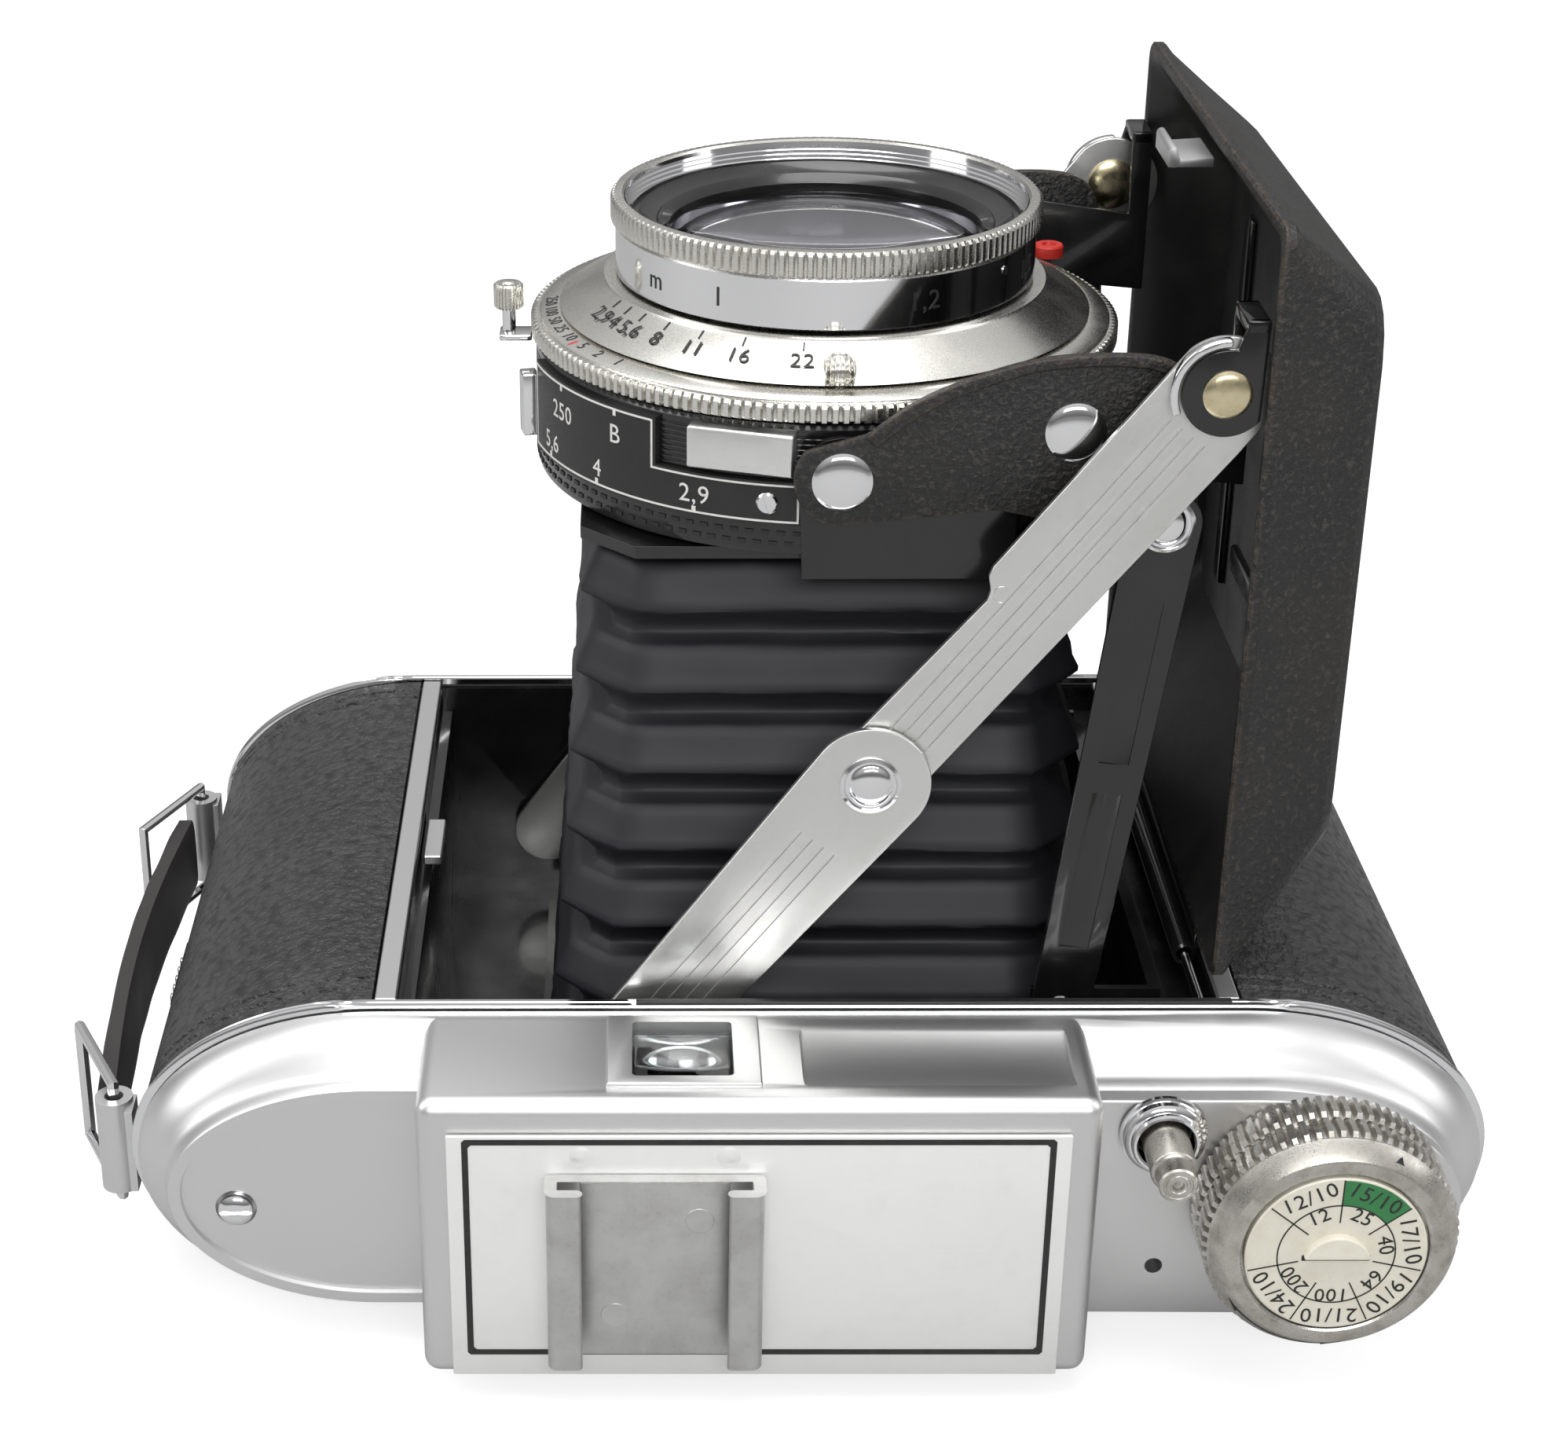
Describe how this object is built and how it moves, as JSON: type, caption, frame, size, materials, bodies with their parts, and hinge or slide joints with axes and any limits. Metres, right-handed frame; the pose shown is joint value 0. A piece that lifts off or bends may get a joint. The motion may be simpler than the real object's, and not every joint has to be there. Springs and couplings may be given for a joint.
{
  "type": "folding camera",
  "caption": "Folding roll-film camera, bed open and bellows out: knurled lens rings, diagonal braces, top housing with shoe and knob, hinged back.",
  "frame": {"origin": "on the outer face of the back, under the lens axis; the camera lies on its back", "axes": "+Z the way the lens looks; +X along the body towards the advance knob and the folding bed; -Y towards the top housing"},
  "size_m": [0.1481, 0.1067, 0.1145],
  "materials": {
    "satin_chrome": "satin",
    "bright_chrome": "polished",
    "brushed_aluminium": "brushed",
    "black_leather": "pebbled",
    "bellows_leather": "glossy grain",
    "strap_leather": "smooth",
    "crackle_black": "crackle",
    "gloss_black": "gloss",
    "glass": "coated",
    "cream_dial": "matt",
    "red_window": "clear"
  },
  "bodies": {
    "body": {"body_shell": "gloss_black", "top_trim": "bright_chrome", "bottom_trim": "bright_chrome", "leather_left": "black_leather", "leather_right": "black_leather", "strip_left": "satin_chrome", "strip_right": "satin_chrome", "top_housing": "satin_chrome", "name_plate": "brushed_aluminium", "accessory_shoe": "satin_chrome", "finder_window": "glass", "finder_eyepiece": "glass", "housing_screw": "bright_chrome", "release_collar": "bright_chrome", "bottom_plate": "satin_chrome", "tripod_bush": "bright_chrome", "back_hinge_pin": "bright_chrome", "strap_lug_near": "satin_chrome", "strap_lug_far": "satin_chrome", "strap_ring_near": "bright_chrome", "strap_ring_far": "bright_chrome", "carrying_strap": "strap_leather", "door_hinge_pin": "bright_chrome", "bellows": "bellows_leather"},
    "button": {"release_button": "bright_chrome"},
    "knob": {"advance_knob": "satin_chrome", "take_up_spool": "gloss_black"},
    "dial": {"film_dial": "cream_dial"},
    "back": {"back_cover": "black_leather", "pressure_plate": "gloss_black", "red_window": "red_window"},
    "window_slide": {"window_shutter": "satin_chrome"},
    "latch": {"back_latch": "bright_chrome"},
    "bed": {"folding_door": "crackle_black", "door_hook": "satin_chrome", "door_bracket_near": "gloss_black", "door_bracket_far": "gloss_black"},
    "catch": {"door_catch": "satin_chrome"},
    "upper_braces": {"upper_brace_near": "satin_chrome", "upper_brace_far": "satin_chrome"},
    "lower_braces": {"lower_brace_near": "satin_chrome", "lower_brace_far": "satin_chrome"},
    "links": {"bed_link_near": "gloss_black", "bed_link_far": "gloss_black"},
    "lens_arms": {"lens_arm_near": "crackle_black", "lens_arm_far": "crackle_black"},
    "standard": {"lens_board": "gloss_black", "shutter_housing": "gloss_black", "rear_lens_barrel": "gloss_black", "shutter_blades": "satin_chrome", "scale_plate": "gloss_black", "contact_block": "brushed_aluminium"},
    "speed": {"speed_ring": "satin_chrome"},
    "aperture": {"aperture_ring": "satin_chrome"},
    "focus": {"focus_ring": "bright_chrome", "retaining_ring": "gloss_black", "front_lens": "glass"},
    "cocking": {"cocking_lever": "bright_chrome"},
    "setting": {"setting_lever": "bright_chrome"}
  },
  "joints": [
    {"name": "door_hinge", "type": "hinge", "parent": "body", "child": "bed", "pos_m": [0.0376, 0, 0.0341], "axis": [0, -1, 0], "range_deg": [0, 90], "deforming": ["bellows"]},
    {"name": "lens_arm_pivot", "type": "hinge", "parent": "bed", "child": "lens_arms", "pos_m": [0.02195, 0, 0.09335], "axis": [0, -1, 0], "range_deg": [0, 90]},
    {"name": "standard_pivot", "type": "hinge", "parent": "lens_arms", "child": "standard", "pos_m": [0.00015, 0, 0.0884], "axis": [0, -1, 0], "range_deg": [-180, 0]},
    {"name": "upper_brace_pivot", "type": "hinge", "parent": "bed", "child": "upper_braces", "pos_m": [0.0349, 0, 0.0986], "axis": [0, -1, 0], "range_deg": [0, 40]},
    {"name": "lower_brace_pivot", "type": "hinge", "parent": "body", "child": "lower_braces", "pos_m": [-0.0306, 0, 0.0147], "axis": [0, -1, 0], "range_deg": [-60, 0]},
    {"name": "link_pivot", "type": "hinge", "parent": "body", "child": "links", "pos_m": [0.024, 0, 0.0305], "axis": [0, -1, 0], "range_deg": [0, 110]},
    {"name": "catch_slide", "type": "slide", "parent": "body", "child": "catch", "axis": [-1, 0, 0], "range_m": [0, 0.0015], "stiffness_N_per_m": 200},
    {"name": "release_button", "type": "slide", "parent": "body", "child": "button", "axis": [0, 1, 0], "range_m": [0, 0.0025], "stiffness_N_per_m": 300, "springref_m": -0.002},
    {"name": "advance_knob", "type": "hinge", "parent": "body", "child": "knob", "pos_m": [0.0482, 0, 0.0189], "axis": [0, 1, 0], "continuous": true},
    {"name": "film_dial", "type": "hinge", "parent": "knob", "child": "dial", "pos_m": [0.0482, 0, 0.0189], "axis": [0, 1, 0], "continuous": true},
    {"name": "back_hinge", "type": "hinge", "parent": "body", "child": "back", "pos_m": [0.0611, 0, 0.0071], "axis": [0, -1, 0], "range_deg": [0, 110]},
    {"name": "back_latch", "type": "slide", "parent": "body", "child": "latch", "axis": [0, 1, 0], "range_m": [0, 0.004], "stiffness_N_per_m": 150},
    {"name": "window_slide", "type": "slide", "parent": "back", "child": "window_slide", "axis": [-1, 0, 0], "range_m": [0, 0.011]},
    {"name": "speed_ring", "type": "hinge", "parent": "standard", "child": "speed", "pos_m": [0, 0, 0.094], "axis": [0, 0, 1], "range_deg": [-100, 40]},
    {"name": "aperture_ring", "type": "hinge", "parent": "standard", "child": "aperture", "pos_m": [0, 0, 0.097], "axis": [0, 0, 1], "range_deg": [-85, 0]},
    {"name": "focus_ring", "type": "hinge", "parent": "standard", "child": "focus", "pos_m": [0, 0, 0.104], "axis": [0, 0, 1], "range_deg": [-60, 200]},
    {"name": "cocking_lever", "type": "hinge", "parent": "standard", "child": "cocking", "pos_m": [0, 0, 0.0925], "axis": [0, 0, 1], "range_deg": [0, 35], "stiffness_Nm_per_rad": 0.02},
    {"name": "setting_lever", "type": "hinge", "parent": "standard", "child": "setting", "pos_m": [0, 0, 0.088], "axis": [0, 0, 1], "range_deg": [-10, 0]}
  ],
  "couplings": [
    {"joint": "lens_arm_pivot", "follows": "door_hinge", "ratio": 1},
    {"joint": "standard_pivot", "follows": "door_hinge", "ratio": -2},
    {"joint": "upper_brace_pivot", "follows": "door_hinge", "ratio": 0.3484},
    {"joint": "lower_brace_pivot", "follows": "door_hinge", "ratio": -0.4533},
    {"joint": "link_pivot", "follows": "door_hinge", "ratio": 1.1189}
  ]
}
